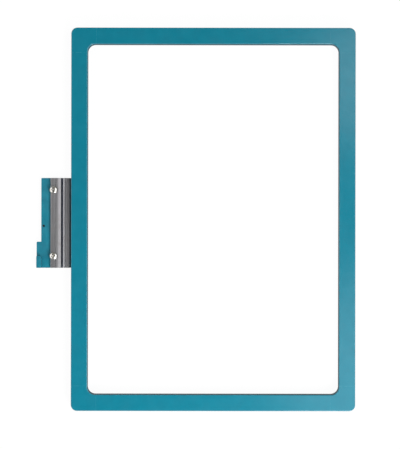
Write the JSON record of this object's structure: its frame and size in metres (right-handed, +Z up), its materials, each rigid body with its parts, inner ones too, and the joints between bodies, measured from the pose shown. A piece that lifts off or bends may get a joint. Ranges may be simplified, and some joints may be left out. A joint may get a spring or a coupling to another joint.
{
  "type": "hinged screen printing frame",
  "caption": "Rectangular painted metal printing frame with rounded corners, carried along one long side by an aluminium slip hinge on a footed mounting block.",
  "frame": {"origin": "middle of the whole object's footprint, on the surface that the frame and its mounting block lie on", "axes": "+Z up out of the frame's printing face, +Y along the long side and the hinge axis, +X across the frame away from the hinge"},
  "size_m": [0.6562, 0.7874, 0.0254],
  "materials": {
    "teal_paint": "smooth glossy powder coat",
    "mill_aluminium": "extruded mill finish with die lines",
    "bright_screw": "bright zinc plate",
    "plain_steel": "plain steel, lightly oiled"
  },
  "bodies": {
    "base": {"mounting_block": "teal_paint", "locating_lug": "teal_paint", "lug_screws": "plain_steel", "base_leaf": "mill_aluminium", "base_leaf_screws": "bright_screw", "hinge_lock_pins": "plain_steel"},
    "frame": {"left_rail": "teal_paint", "right_rail": "teal_paint", "far_rail": "teal_paint", "near_rail": "teal_paint", "far_left_corner": "teal_paint", "far_right_corner": "teal_paint", "near_left_corner": "teal_paint", "near_right_corner": "teal_paint", "corner_pins": "plain_steel", "backing_strip": "plain_steel", "frame_leaf": "mill_aluminium", "frame_leaf_screws": "plain_steel"}
  },
  "joints": [
    {"name": "frame_hinge", "type": "hinge", "parent": "base", "child": "frame", "pos_m": [-0.27525, -0.0076, 0.0095], "axis": [0, -1, 0], "range_deg": [0, 100]}
  ]
}
